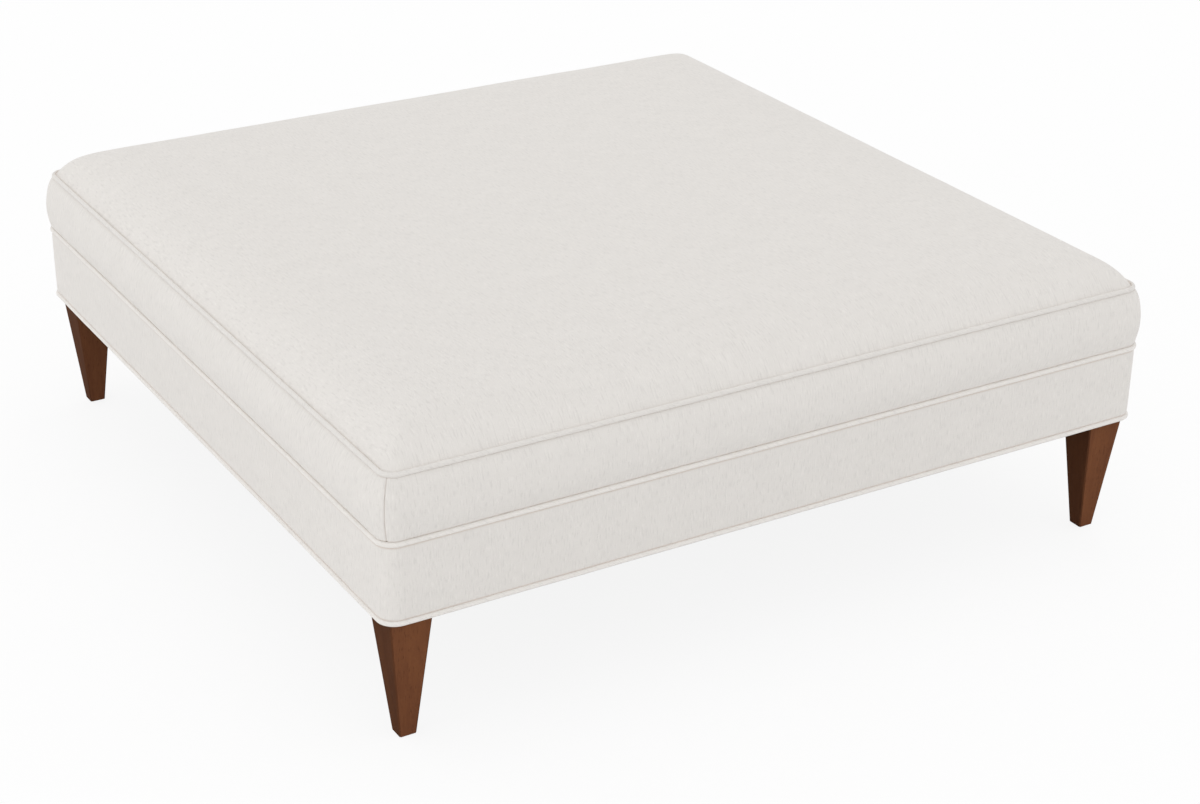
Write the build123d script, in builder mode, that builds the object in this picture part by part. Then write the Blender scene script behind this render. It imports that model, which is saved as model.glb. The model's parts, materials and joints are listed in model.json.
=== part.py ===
from build123d import *
import os
from math import cos, pi, sin

os.makedirs("parts", exist_ok=True)

# Square cocktail ottoman, tight seat on a hardwood frame with four screwed-on tapered legs.
# Millimetres. Origin on the floor under the middle, +Z up, the front faces -Y.

# Overall form
width = 1219.0
depth = 1219.0
corner_radius = 25.0
corner_flats = 5
leg_height = 188.0
band_height = 115.0
boxing_height = 90.5
crown_rise = 50.0

# Cloth cover
cloth = 1.5
ease = 0.3
seam_gap = 0.4
welt_radius = 3.25
welt_stand = 0.8
seam_set = 1.2
flange = 1.0
welt_sides = 8
top_welt_inset = 9.0
boxing_bulge = 6.0
boxing_bulge_share = 0.56
edge_tuck = 9.0
edge_tuck_depth = 2.2

# Crown of the seat: a share of it rises close to the edge, the rest over the whole span
shoulder_share = 0.85
shoulder_power = 20
dome_power = 2
crown_steps = 14
crown_reach_share = 1.01

# Filling
border_share = 0.85
foam_corner_radius = 4.0
batting = 12.0
band_padding_thickness = 4.6
tail_height = 10.0
flange_reach = 10.0
tack_strip_height = 12.0
tack_strip_thickness = 1.5

# Frame of rails
rail_thickness = 22.0
rail_stand = 6.0
dowel_radius = 5.0
dowel_length = 48.0
dowel_bite = 15.0
dowel_row_share = 0.28
brace_thickness = 22.0
brace_height = 80.0
block_leg = 84.0
block_height = 45.0
block_screw_reach_share = 0.56
block_screw_radius = 2.2
block_screw_point_radius = 0.5
block_screw_head_radius = 4.2
block_screw_head_height = 3.0
block_screw_bite = 16.0
block_screw_pocket = 8.0

# Webbing, hems folded over on the frame, and the sheets above and below it
webbing_count = 5
webbing_width = 80.0
webbing_thickness = 1.5
webbing_ramp = 26.0
webbing_hem = 30.0
webbing_end_inset = 5.0
deck_thickness = 1.0
deck_inset = 4.0
dust_cover_thickness = 0.8
dust_cover_inset = 8.0

# Staples
staple_wire = 1.0
staple_width = 11.0
staple_leg = 11.0
hem_staple_share = 0.35
dust_staple_inset = 18.0
dust_staple_count = 4

# Legs and their fastenings
leg_top = 61.0
leg_foot = 24.0
leg_inset = 41.5
leg_edge = 1.6
bolt_radius = 4.0
bolt_point_radius = 1.2
bolt_chamfer = 0.8
bolt_in_leg = 45.0
bolt_tip = 5.0
bolt_above_nut = 4.0
nut_flange_radius = 8.6
nut_flange_thickness = 1.5
nut_barrel_radius = 5.6
nut_barrel_height = 11.0
glide_height = 2.5
glide_radius = 8.5
glide_edge = 1.0
glide_nail_radius = 1.3
glide_nail_point_radius = 0.4
glide_nail_length = 14.0

# Flat sides of the small turned pieces, their clearance in their holes, and the overrun of cuts
turned_sides = 8
fit = 0.05
overrun = 20.0
quarter_turn = 90
half_turn = 180

# Levels above the floor
rail_base = leg_height + dust_cover_thickness + flange
welt_bottom_level = rail_base - flange / 2
welt_middle_level = welt_bottom_level + band_height
welt_top_level = welt_middle_level + boxing_height
rail_top = welt_middle_level + rail_stand
rail_height = rail_top - rail_base
deck_base = rail_top + 2 * webbing_thickness
deck_top = deck_base + deck_thickness
panel_rim_level = welt_top_level + flange / 2 + cloth

# Offsets from the plane of the body's sides, outward positive
frame_offset = -(cloth + band_padding_thickness + 2 * ease)
welt_back = -(welt_radius + welt_stand)
panel_rim = welt_back - top_welt_inset - ease
boxing_top = panel_rim - seam_set
tail_back = boxing_top - cloth - ease - flange
frame_width = width + 2 * frame_offset
frame_depth = depth + 2 * frame_offset
frame_radius = corner_radius + frame_offset
inner_width = frame_width - 2 * rail_thickness
inner_depth = frame_depth - 2 * rail_thickness
foam_offset = -border_share * corner_radius
foam_top = panel_rim_level - cloth - batting - 2 * ease
block_base = rail_base - flange
block_top = block_base + block_height
leg_x = width / 2 - leg_inset
leg_y = depth / 2 - leg_inset


def place(offset, level):
    """Point of a ring's section at the middle of the front, on the YZ plane."""
    return (-depth / 2 - offset, level)


def boxing_arc(inward):
    """Bowed line of the boxing's section, from the middle seam up to the top one."""
    low = place(welt_back - 2 * ease - inward, welt_middle_level + flange / 2)
    bulge_level = welt_middle_level + boxing_bulge_share * boxing_height
    bulge = place(boxing_bulge - inward, bulge_level)
    high = place(boxing_top - inward, welt_top_level - flange / 2)
    return low, bulge, high


def welt_section(inset, level, back, drop):
    """Section of a welt: its cord, and its flange that runs in and down behind the seam."""
    cord = place(-inset - welt_stand, level)
    reach = -inset - welt_stand - back
    with BuildSketch(Plane.YZ) as section:
        with Locations(cord):
            RegularPolygon(welt_radius, welt_sides)
            Rectangle(reach, flange, align=(Align.MIN, Align.CENTER))
        if drop:
            with Locations(place(back, level + flange / 2)):
                Rectangle(flange, flange + drop, align=(Align.MAX, Align.MAX))
    return section.sketch


def ring_block(outer, inner, low, high):
    """Section of a plain strip between two offsets and two levels."""
    with BuildSketch(Plane.YZ) as section:
        with Locations(place(inner, low)):
            Rectangle(outer - inner, high - low, align=(Align.MAX, Align.MIN))
    return section.sketch


def ring(section):
    """Ring of cloth, cord or padding: a section carried round the body's sides."""
    return sweep(sections=section, path=loop, transition=Transition.RIGHT)


def turned(*steps):
    """Slender piece on the Z axis, in flat-sided steps of low level and radius, high level and radius."""
    with BuildPart() as piece:
        for low, low_radius, high, high_radius in steps:
            for level, radius in ((low, low_radius), (high, high_radius)):
                with BuildSketch(Plane.XY.offset(level)):
                    RegularPolygon(radius, turned_sides)
            loft(ruled=True)
    return piece.part


def webbing_places(span):
    """Middles of the webbing strips, evenly spread over a span."""
    pitch = span / (webbing_count + 1)
    return [(i + 1) * pitch - span / 2 for i in range(webbing_count)]


def shoulder(share):
    """Rise of the crown across the seat, from 0 at the edge to 1 in the middle."""
    steep = shoulder_share * abs(share) ** shoulder_power
    return 1 - steep - (1 - shoulder_share) * abs(share) ** dome_power


def crown_outline(half, drop):
    """Outline of the block under the crown across a span of the seat, lowered by a drop."""
    level = panel_rim_level - drop
    foot = level - boxing_height - crown_rise
    shares = [crown_reach_share * sin(pi / 2 * i / crown_steps) for i in range(-crown_steps, crown_steps + 1)]
    reach = crown_reach_share * half
    return [(-reach, foot)] + [(u * half, level + crown_rise * shoulder(u)) for u in shares] + [(reach, foot)]


def crown_block(drop):
    """Solid under the crowned surface of the seat, lowered by a drop."""
    with BuildPart() as block:
        with BuildSketch(Plane.XZ):
            Polygon(*crown_outline(width / 2 + panel_rim, drop), align=None)
        extrude(amount=depth, both=True)
        with BuildSketch(Plane.YZ):
            Polygon(*crown_outline(depth / 2 + panel_rim, drop), align=None)
        extrude(amount=width, both=True, mode=Mode.INTERSECT)
    return block.part


def strip_outline(span, crossings, parity):
    """Outline of a webbing strip seen from its edge, from end to end over and under the crossings."""
    end = span / 2 - webbing_end_inset
    half = webbing_width / 2
    base, raised = rail_top, rail_top + webbing_thickness
    under = [(-end, base)]
    for i, middle in enumerate(crossings):
        if (i + parity) % 2 == 0:
            under += [
                (middle - half - webbing_ramp, base), (middle - half, raised),
                (middle + half, raised), (middle + half + webbing_ramp, base),
            ]
    under.append((end, base))
    over = [(along, level + webbing_thickness) for along, level in under[1:-1]]
    hem_top = rail_top + 2 * webbing_thickness
    hem = end - webbing_hem
    start = [(-end, hem_top), (-hem, hem_top), (-hem, raised)]
    finish = [(hem, raised), (hem, hem_top), (end, hem_top)]
    return under + finish[::-1] + over[::-1] + start[::-1]


def staple_outline():
    """Outline of a staple with its crown down and its legs up."""
    outer = staple_width / 2
    inner = outer - staple_wire
    return [
        (-outer, 0), (outer, 0), (outer, staple_leg), (inner, staple_leg),
        (inner, staple_wire), (-inner, staple_wire), (-inner, staple_leg), (-outer, staple_leg),
    ]


# Loop round the body's sides that every cloth ring and welt follows, its corners in short flats
flat_turn = pi / 2 / (corner_flats + 1)
flat_reach = corner_radius / cos(flat_turn / 2)
loop_points = [(0, -depth / 2)]
for quarter, (sign_x, sign_y) in enumerate(((1, -1), (1, 1), (-1, 1), (-1, -1))):
    for i in range(corner_flats + 1):
        angle = (quarter - 1) * pi / 2 + (i + 1 / 2) * flat_turn
        middle_x = sign_x * (width / 2 - corner_radius)
        middle_y = sign_y * (depth / 2 - corner_radius)
        loop_points.append((middle_x + flat_reach * cos(angle), middle_y + flat_reach * sin(angle)))
with BuildLine() as body_loop:
    Polyline(*loop_points, close=True)
loop = body_loop.wire()

leg_corners = {
    "front_left": (-1, -1),
    "front_right": (1, -1),
    "back_left": (-1, 1),
    "back_right": (1, 1),
}

# Wooden dowels, two at each rail corner and two at each end of the brace
dowel_y = inner_depth / 2 + dowel_bite - dowel_length / 2
side_rail_x = (frame_width - rail_thickness) / 2
dowel_places = [
    Location((x, y, rail_base + share * height), (quarter_turn, 0, 0))
    for x, height in ((-side_rail_x, rail_height), (0, brace_height), (side_rail_x, rail_height))
    for y in (-dowel_y, dowel_y)
    for share in (dowel_row_share, 1 - dowel_row_share)
]
dowel_end = dowel_length / 2
dowel = turned((-dowel_end, dowel_radius, dowel_end, dowel_radius))
dowel_hole = turned((-dowel_end - ease, dowel_radius + fit, dowel_end + ease, dowel_radius + fit))
with BuildPart() as dowels:
    for spot in dowel_places:
        add(dowel.moved(spot))
dowels.part.label = "dowels"
export_step(dowels.part, "parts/dowels.step")

with BuildPart() as dowel_holes:
    for spot in dowel_places:
        add(dowel_hole.moved(spot))

# Staples: one through the burlap and each end of every webbing strip, and a row under each rail
hem_x = frame_width / 2 - webbing_end_inset - hem_staple_share * webbing_hem
hem_y = frame_depth / 2 - webbing_end_inset - hem_staple_share * webbing_hem
deck_staple_places = [
    Location((sign * hem_x, y, deck_top), (0, 0, quarter_turn))
    for y in webbing_places(inner_depth)
    for sign in (-1, 1)
] + [
    Location((x, sign * hem_y, deck_top))
    for x in webbing_places(inner_width)
    for sign in (-1, 1)
]
dust_x = width / 2 - dust_staple_inset
dust_y = depth / 2 - dust_staple_inset
dust_level = leg_height - staple_wire
dust_row = [(i + 1) / (dust_staple_count + 1) - 1 / 2 for i in range(dust_staple_count)]
dust_staple_places = [
    Location((sign * dust_x, share * inner_depth, dust_level), (0, 0, quarter_turn))
    for share in dust_row
    for sign in (-1, 1)
] + [
    Location((share * inner_width, sign * dust_y, dust_level))
    for share in dust_row
    for sign in (-1, 1)
]

with BuildPart() as staple_up:
    with BuildSketch(Plane.XZ):
        with BuildLine():
            Polyline(*staple_outline(), close=True)
        make_face()
    extrude(amount=staple_wire / 2, both=True)
staple_down = staple_up.part.rotate(Axis.X, half_turn)

with BuildPart() as deck_staples:
    for spot in deck_staple_places:
        add(staple_down.moved(spot))
deck_staples.part.label = "deck_staples"
export_step(deck_staples.part, "parts/deck_staples.step")

with BuildPart() as dust_cover_staples:
    for spot in dust_staple_places:
        add(staple_up.part.moved(spot))
dust_cover_staples.part.label = "dust_cover_staples"
export_step(dust_cover_staples.part, "parts/dust_cover_staples.step")

# Screws of the corner blocks, each driven through the block square to one rail
screw_reach = block_screw_reach_share * block_leg
screw_level = block_base + block_height / 2
screw_length = block_leg - screw_reach - block_screw_pocket + block_screw_bite
screw_places = []
for sign_x, sign_y in leg_corners.values():
    face_x, face_y = sign_x * inner_width / 2, sign_y * inner_depth / 2
    reach_x, reach_y = face_x - sign_x * screw_reach, face_y - sign_y * screw_reach
    point_x, point_y = face_x + sign_x * block_screw_bite, face_y + sign_y * block_screw_bite
    screw_places += [
        Plane(origin=(reach_x, point_y, screw_level), z_dir=(0, -sign_y, 0)).location,
        Plane(origin=(point_x, reach_y, screw_level), z_dir=(-sign_x, 0, 0)).location,
    ]
screw_shoulder = 2 * block_screw_radius
screw_hole_radius = block_screw_radius + fit
pocket_radius = block_screw_head_radius + ease
block_screw = turned(
    (0, block_screw_point_radius, screw_shoulder, block_screw_radius),
    (screw_shoulder, block_screw_radius, screw_length, block_screw_radius),
    (screw_length, block_screw_head_radius, screw_length + block_screw_head_height, block_screw_head_radius),
)
block_screw_hole = turned(
    (-ease, screw_hole_radius, screw_length, screw_hole_radius),
    (screw_length, pocket_radius, screw_length + overrun, pocket_radius),
)
with BuildPart() as block_screws:
    for spot in screw_places:
        add(block_screw.moved(spot))
block_screws.part.label = "block_screws"
export_step(block_screws.part, "parts/block_screws.step")
with BuildPart() as block_screw_holes:
    for spot in screw_places:
        add(block_screw_hole.moved(spot))

# Rails: front and back run the full width, the sides stand between them
rail_plans = {
    "front": (frame_width, rail_thickness, 0, (rail_thickness - frame_depth) / 2),
    "back": (frame_width, rail_thickness, 0, (frame_depth - rail_thickness) / 2),
    "left": (rail_thickness, inner_depth, -side_rail_x, 0),
    "right": (rail_thickness, inner_depth, side_rail_x, 0),
}
for name, (size_x, size_y, x, y) in rail_plans.items():
    with BuildPart() as rail:
        with BuildSketch(Plane.XY.offset(rail_base)):
            with Locations((x, y)):
                Rectangle(size_x, size_y)
            RectangleRounded(frame_width, frame_depth, frame_radius, mode=Mode.INTERSECT)
        extrude(amount=rail_height)
        add(dowel_holes.part, mode=Mode.SUBTRACT)
        add(block_screw_holes.part, mode=Mode.SUBTRACT)
        add(deck_staples.part, mode=Mode.SUBTRACT)
        add(dust_cover_staples.part, mode=Mode.SUBTRACT)
    rail.part.label = f"rail_{name}"
    export_step(rail.part, f"parts/rail_{name}.step")

# Brace from front to back under the webbing
with BuildPart() as centre_brace:
    with BuildSketch(Plane.XY.offset(rail_base)):
        Rectangle(brace_thickness, inner_depth)
    extrude(amount=brace_height)
    add(dowel_holes.part, mode=Mode.SUBTRACT)
centre_brace.part.label = "centre_brace"
export_step(centre_brace.part, "parts/centre_brace.step")

# Legs, the blocks that carry them, and what fastens and foots them
bolt_low = leg_height - bolt_in_leg
bolt_high = block_top + nut_flange_thickness + bolt_above_nut
bolt_hole_radius = bolt_radius + fit
nut_low = block_top - nut_barrel_height
nut_high = block_top + nut_flange_thickness
nail_hole_radius = glide_nail_radius + fit
nail_high = glide_height + glide_nail_length
hanger_bolt = turned(
    (bolt_low, bolt_point_radius, bolt_low + bolt_tip, bolt_radius),
    (bolt_low + bolt_tip, bolt_radius, bolt_high - bolt_chamfer, bolt_radius),
    (bolt_high - bolt_chamfer, bolt_radius, bolt_high, bolt_radius - bolt_chamfer),
)
bolt_hole = turned((bolt_low - ease, bolt_hole_radius, bolt_high, bolt_hole_radius))
t_nut = turned(
    (nut_low, nut_barrel_radius, block_top, nut_barrel_radius),
    (block_top, nut_flange_radius, nut_high, nut_flange_radius),
)
glide = turned(
    (0, glide_radius - glide_edge, glide_edge, glide_radius),
    (glide_edge, glide_radius, glide_height, glide_radius),
    (glide_height, glide_nail_radius, nail_high - glide_nail_radius, glide_nail_radius),
    (nail_high - glide_nail_radius, glide_nail_radius, nail_high, glide_nail_point_radius),
)
nail_hole = turned((0, nail_hole_radius, nail_high + ease, nail_hole_radius))
block_bore = turned(
    (block_base - overrun, bolt_radius + ease, block_top, bolt_radius + ease),
    (nut_low - ease, nut_barrel_radius + fit, block_top, nut_barrel_radius + fit),
)
leg_length = leg_height - glide_height
foot_low = (leg_top - leg_foot) / 2
foot_high = foot_low + leg_foot
with BuildPart() as leg:
    with Locations(Location((0, 0, leg_height), (-quarter_turn, 0, 0))):
        Wedge(
            leg_top, leg_length, leg_top, foot_low, foot_low, foot_high, foot_high,
            align=(Align.CENTER, Align.MIN, Align.CENTER),
        )
    slanted = leg.edges().filter_by(lambda edge: edge.length > leg_length)
    chamfer(slanted, leg_edge)
    add(bolt_hole, mode=Mode.SUBTRACT)
    add(nail_hole, mode=Mode.SUBTRACT)

corner_places = {name: Location((x * leg_x, y * leg_y, 0)) for name, (x, y) in leg_corners.items()}
for name, spot in corner_places.items():
    placed_leg = leg.part.moved(spot)
    placed_leg.label = f"leg_{name}"
    export_step(placed_leg, f"parts/leg_{name}.step")

with BuildPart() as glides:
    for spot in corner_places.values():
        add(glide.moved(spot))
glides.part.label = "glides"
export_step(glides.part, "parts/glides.step")

with BuildPart() as hanger_bolts:
    for spot in corner_places.values():
        add(hanger_bolt.moved(spot))
hanger_bolts.part.label = "hanger_bolts"
export_step(hanger_bolts.part, "parts/hanger_bolts.step")

with BuildPart() as t_nuts:
    for spot in corner_places.values():
        add(t_nut.moved(spot))
        add(bolt_hole.moved(spot), mode=Mode.SUBTRACT)
t_nuts.part.label = "t_nuts"
export_step(t_nuts.part, "parts/t_nuts.step")

for name, (sign_x, sign_y) in leg_corners.items():
    corner_x = sign_x * inner_width / 2
    corner_y = sign_y * inner_depth / 2
    with BuildPart() as corner_block:
        with BuildSketch(Plane.XY.offset(block_base)):
            with BuildLine():
                Polyline(
                    (corner_x, corner_y),
                    (corner_x - sign_x * block_leg, corner_y),
                    (corner_x, corner_y - sign_y * block_leg),
                    close=True,
                )
            make_face()
        extrude(amount=block_height)
        add(block_bore.moved(corner_places[name]), mode=Mode.SUBTRACT)
        add(block_screw_holes.part, mode=Mode.SUBTRACT)
    corner_block.part.label = f"corner_block_{name}"
    export_step(corner_block.part, f"parts/corner_block_{name}.step")

# Webbing strips, woven over and under each other, with doubled hems on the rails
for i, y in enumerate(webbing_places(inner_depth)):
    with BuildPart() as webbing:
        with BuildSketch(Plane((0, y, 0), x_dir=(1, 0, 0), z_dir=(0, -1, 0))):
            with BuildLine():
                Polyline(*strip_outline(frame_width, webbing_places(inner_width), i), close=True)
            make_face()
        extrude(amount=webbing_width / 2, both=True)
        add(deck_staples.part, mode=Mode.SUBTRACT)
    webbing.part.label = f"webbing_across_{i + 1}"
    export_step(webbing.part, f"parts/webbing_across_{i + 1}.step")
for i, x in enumerate(webbing_places(inner_width)):
    with BuildPart() as webbing:
        with BuildSketch(Plane((x, 0, 0), x_dir=(0, 1, 0), z_dir=(1, 0, 0))):
            with BuildLine():
                Polyline(*strip_outline(frame_depth, webbing_places(inner_depth), i + 1), close=True)
            make_face()
        extrude(amount=webbing_width / 2, both=True)
        add(deck_staples.part, mode=Mode.SUBTRACT)
    webbing.part.label = f"webbing_along_{i + 1}"
    export_step(webbing.part, f"parts/webbing_along_{i + 1}.step")

# Burlap over the webbing
with BuildPart() as burlap_deck:
    with BuildSketch(Plane.XY.offset(deck_base)):
        RectangleRounded(
            frame_width - 2 * deck_inset, frame_depth - 2 * deck_inset, frame_radius - deck_inset
        )
    extrude(amount=deck_thickness)
    add(deck_staples.part, mode=Mode.SUBTRACT)
burlap_deck.part.label = "burlap_deck"
export_step(burlap_deck.part, "parts/burlap_deck.step")

# Dust cover under the rails, clamped between the legs and the corner blocks
with BuildPart() as dust_cover:
    with BuildSketch(Plane.XY.offset(leg_height)):
        RectangleRounded(
            width - 2 * dust_cover_inset, depth - 2 * dust_cover_inset, corner_radius - dust_cover_inset
        )
        with Locations(*corner_places.values()):
            RegularPolygon(bolt_radius + ease, turned_sides, mode=Mode.SUBTRACT)
    extrude(amount=dust_cover_thickness)
    add(dust_cover_staples.part, mode=Mode.SUBTRACT)
dust_cover.part.label = "dust_cover"
export_step(dust_cover.part, "parts/dust_cover.step")

# Foam core, a slab cut square
with BuildPart() as foam_core:
    with BuildSketch(Plane.XY.offset(deck_top)):
        RectangleRounded(width + 2 * foam_offset, depth + 2 * foam_offset, foam_corner_radius)
    extrude(amount=foam_top - deck_top)
foam_core.part.label = "foam_core"
export_step(foam_core.part, "parts/foam_core.step")

# Batting: a pad that builds up the crown over the foam, and a border that fills out the boxing
with BuildPart() as batting_top:
    with BuildSketch(Plane.XY.offset(foam_top + ease)):
        RectangleRounded(
            width + 2 * (tail_back - ease),
            depth + 2 * (tail_back - ease),
            corner_radius + tail_back - ease,
        )
    extrude(amount=batting + 2 * crown_rise)
    add(crown_block(cloth + ease), mode=Mode.INTERSECT)
batting_top.part.label = "batting_top"
export_step(batting_top.part, "parts/batting_top.step")

with BuildPart() as batting_border:
    with BuildSketch(Plane.YZ) as border_section:
        with BuildLine():
            low, bulge, high = boxing_arc(cloth + ease)
            inner_high = place(foam_offset + ease, high[1])
            inner_low = place(foam_offset + ease, low[1])
            Polyline(low, bulge, high, inner_high, inner_low, close=True)
        make_face()
        with Locations(place(foam_offset + ease, deck_top)):
            Rectangle(
                overrun - foam_offset, foam_top - deck_top, align=(Align.MAX, Align.MIN), mode=Mode.INTERSECT
            )
    ring(border_section.sketch)
batting_border.part.label = "batting_border"
export_step(batting_border.part, "parts/batting_border.step")

# Crowned top panel, its rim on the flange of the top welt
with BuildPart() as top_panel:
    with BuildSketch(Plane.XY.offset(deck_top)):
        RectangleRounded(width + 2 * panel_rim, depth + 2 * panel_rim, corner_radius + panel_rim)
    extrude(amount=boxing_height + crown_rise)
    add(crown_block(0), mode=Mode.INTERSECT)
    add(crown_block(cloth), mode=Mode.SUBTRACT)
top_panel.part.label = "top_panel"
export_step(top_panel.part, "parts/top_panel.step")

# Boxing: four bowed panels that meet in a seam at each corner
with BuildPart() as boxing_ring:
    with BuildSketch(Plane.YZ) as boxing_section:
        with BuildLine():
            outer = boxing_arc(0)
            inner = boxing_arc(cloth)
            ThreePointArc(*outer)
            Line(outer[2], inner[2])
            ThreePointArc(*inner[::-1])
            Line(inner[0], outer[0])
        make_face()
    ring(boxing_section.sketch)
boxing_cuts = {
    "front": (width, depth, 0),
    "right": (depth, width, quarter_turn),
    "back": (width, depth, half_turn),
    "left": (depth, width, -quarter_turn),
}
for name, (length, across, angle) in boxing_cuts.items():
    with BuildPart() as boxing:
        with BuildSketch(Plane.XY.offset(welt_middle_level).rotated((0, 0, angle))):
            with BuildLine():
                low_y = -across / 2 - overrun
                high_y = -across / 2 + 2 * corner_radius
                low_x = length / 2 + overrun - seam_gap / 2
                high_x = length / 2 - 2 * corner_radius - seam_gap / 2
                Polyline((-low_x, low_y), (low_x, low_y), (high_x, high_y), (-high_x, high_y), close=True)
            make_face()
        extrude(amount=boxing_height)
        add(boxing_ring.part, mode=Mode.INTERSECT)
    boxing.part.label = f"boxing_{name}"
    export_step(boxing.part, f"parts/boxing_{name}.step")

# Lower band of cloth, tucked in along both edges, over its padding and tack strip
with BuildPart() as lower_band:
    band_low = welt_bottom_level + welt_radius + ease
    band_high = welt_middle_level - welt_radius - ease
    with BuildSketch(Plane.YZ) as band_section:
        for inward, mode in ((0, Mode.ADD), (cloth, Mode.SUBTRACT)):
            with BuildLine():
                top_edge = place(-inward - edge_tuck_depth, band_high)
                top_face = place(-inward, band_high - edge_tuck)
                low_face = place(-inward, band_low + edge_tuck)
                low_edge = place(-inward - edge_tuck_depth, band_low)
                back = -edge_tuck_depth - cloth
                TangentArc(top_face, top_edge, tangent=(0, 1))
                Line(top_face, low_face)
                TangentArc(low_face, low_edge, tangent=(0, -1))
                Polyline(low_edge, place(back - inward, band_low), place(back - inward, band_high), top_edge)
            make_face(mode=mode)
    ring(band_section.sketch)
lower_band.part.label = "lower_band"
export_step(lower_band.part, "parts/lower_band.step")

tack_back = frame_offset + ease + flange
tack_low = band_high - tack_strip_height
with BuildPart() as tack_strip:
    ring(ring_block(tack_back + tack_strip_thickness, tack_back, tack_low, band_high))
tack_strip.part.label = "tack_strip"
export_step(tack_strip.part, "parts/tack_strip.step")

padding_low = band_low + edge_tuck
padding_high = tack_low - ease
with BuildPart() as band_padding:
    ring(ring_block(-cloth - ease, frame_offset + ease, padding_low, padding_high))
band_padding.part.label = "band_padding"
export_step(band_padding.part, "parts/band_padding.step")

# Welts along the top seam, the middle seam and the bottom edge
with BuildPart() as welt_top:
    ring(welt_section(top_welt_inset, welt_top_level, tail_back, tail_height))
welt_top.part.label = "welt_top"
export_step(welt_top.part, "parts/welt_top.step")

with BuildPart() as welt_middle:
    ring(welt_section(0, welt_middle_level, frame_offset + ease, tail_height))
welt_middle.part.label = "welt_middle"
export_step(welt_middle.part, "parts/welt_middle.step")

with BuildPart() as welt_bottom:
    ring(welt_section(0, welt_bottom_level, welt_back - flange_reach, 0))
welt_bottom.part.label = "welt_bottom"
export_step(welt_bottom.part, "parts/welt_bottom.step")
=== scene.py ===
import json
import math

import bmesh
import bpy
from bpy.props import FloatProperty, FloatVectorProperty, IntProperty, PointerProperty
from mathutils import Matrix, Vector, noise


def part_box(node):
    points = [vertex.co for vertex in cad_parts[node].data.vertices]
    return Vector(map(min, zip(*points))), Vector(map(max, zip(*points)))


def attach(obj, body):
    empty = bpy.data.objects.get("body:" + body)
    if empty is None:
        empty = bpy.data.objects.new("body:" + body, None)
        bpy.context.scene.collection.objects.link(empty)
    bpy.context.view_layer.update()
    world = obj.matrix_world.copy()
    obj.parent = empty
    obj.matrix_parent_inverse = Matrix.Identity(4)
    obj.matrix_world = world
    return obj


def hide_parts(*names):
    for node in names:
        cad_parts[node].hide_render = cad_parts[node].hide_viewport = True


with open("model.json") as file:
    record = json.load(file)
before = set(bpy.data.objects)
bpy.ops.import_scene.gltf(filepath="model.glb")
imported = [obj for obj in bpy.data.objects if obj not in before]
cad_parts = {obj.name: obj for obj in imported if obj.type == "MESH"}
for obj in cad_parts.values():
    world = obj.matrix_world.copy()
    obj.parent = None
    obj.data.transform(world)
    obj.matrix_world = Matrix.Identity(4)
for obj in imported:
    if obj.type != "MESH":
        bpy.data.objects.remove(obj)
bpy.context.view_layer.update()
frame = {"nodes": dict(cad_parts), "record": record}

bl_info = {
    "name": "Square Cocktail Ottoman",
    "version": (1, 0, 0),
    "blender": (4, 5, 0),
    "location": "View3D > Sidebar > Ottoman",
    "description": "Dresses the packed ottoman with its cloth cover, stained legs and a studio",
    "category": "Add Mesh",
}

BODY_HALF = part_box("lower_band")[1].x
SIDES = ("front", "right", "back", "left")
CORNERS = ("front_left", "front_right", "back_left", "back_right")


# Sizes and colours that a user would change


class OttomanCover(bpy.types.PropertyGroup):
    """The cover's cloth, cords and seams"""

    cloth_colour: FloatVectorProperty(
        name="Cloth colour", description="Ground colour of the woven cover",
        default=(0.782, 0.754, 0.721), min=0, max=1, subtype="COLOR",
    )
    # Painted shade: the colour the cloth is darkened to along the seams, standing in for the shadow in the
    # creases beside the cords
    seam_shade_colour: FloatVectorProperty(
        name="Seam colour", description="Tint of the cloth where it turns into a seam",
        default=(0.70, 0.63, 0.575), min=0, max=1, subtype="COLOR",
    )
    # How far the painted seam shade runs out over the cloth
    seam_shade_reach: FloatProperty(
        name="Seam reach", description="How far the seam colour runs out over the cloth",
        default=0.0028, min=0.0005, max=0.01, unit="LENGTH",
    )
    # Painted highlight: the two lower cords are coloured lighter than the cover, standing in for the
    # highlight along them
    cord_highlight: FloatProperty(
        name="Cord lift", description="How much lighter the bias-cut cloth on the two lower cords looks",
        default=1.07, min=0.8, max=1.2,
    )
    thread: FloatProperty(
        name="Thread", description="Pitch of the weave",
        default=0.0009, min=0.0003, max=0.004, unit="LENGTH",
    )
    cloth: FloatProperty(
        name="Cloth thickness", description="Thickness of the cover",
        default=0.0012, min=0.0005, max=0.003, unit="LENGTH",
    )
    corner_radius: FloatProperty(
        name="Corner radius", description="Radius of the body's upright corners",
        default=0.025, min=0.005, max=0.1, unit="LENGTH",
    )
    top_corner_radius: FloatProperty(
        name="Top corner radius", description="Radius that the top welt's corners are turned from",
        default=0.030, min=0.005, max=0.1, unit="LENGTH",
    )
    welt_radius: FloatProperty(
        name="Welt radius", description="Radius of the covered cords",
        default=0.0036, min=0.001, max=0.01, unit="LENGTH",
    )
    welt_stand: FloatProperty(
        name="Welt stand", description="How far a cord's middle lies behind the cloth beside it",
        default=0.0014, min=0, max=0.004, unit="LENGTH",
    )
    top_welt_inset: FloatProperty(
        name="Top welt inset", description="How far the top welt stands in from the sides",
        default=0.009, min=0, max=0.05, unit="LENGTH",
    )
    pucker_depth: FloatProperty(
        name="Pucker depth", description="Depth of the gathers along the seams",
        default=0.0005, min=0, max=0.003, unit="LENGTH",
    )
    pucker_reach: FloatProperty(
        name="Pucker reach", description="How far the gathers run out from a seam",
        default=0.014, min=0.002, max=0.08, unit="LENGTH",
    )


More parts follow.
